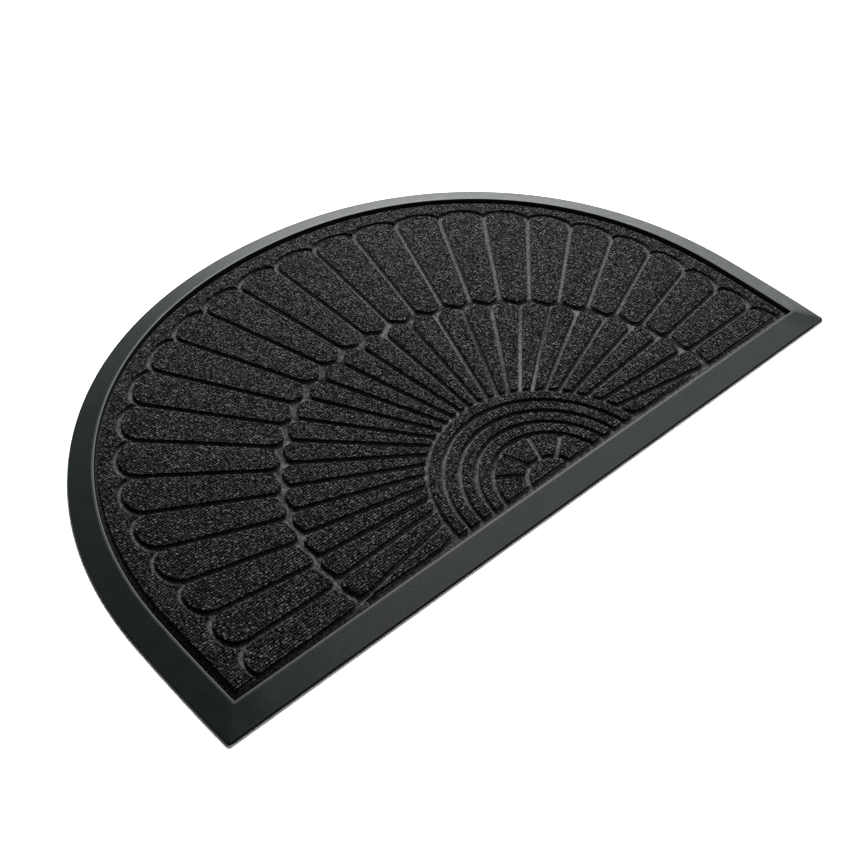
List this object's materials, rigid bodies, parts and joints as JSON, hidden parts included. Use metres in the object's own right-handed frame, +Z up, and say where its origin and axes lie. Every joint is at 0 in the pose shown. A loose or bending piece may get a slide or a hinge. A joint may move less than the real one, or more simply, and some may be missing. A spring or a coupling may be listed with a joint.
{
  "type": "half-round door mat",
  "caption": "Half-round door mat: a moulded rubber tray with a bevelled border, and a carpet face whose pile is pressed into a fan of petals and flutes over half rings.",
  "frame": {"origin": "on the underside, at the middle of the bounding box", "axes": "+X along the straight front edge, +Y from the straight edge to the top of the arch, +Z up"},
  "size_m": [0.9, 0.593, 0.011],
  "materials": {
    "rubber": "dark slate moulded rubber, satin, with faint moulded lines along the bevel",
    "pile": "matt short charcoal pile in fine rows, pressed and fused in the grooves"
  },
  "bodies": {
    "root": {"rubber_tray": "rubber", "pile_panel": "pile"}
  },
  "joints": []
}
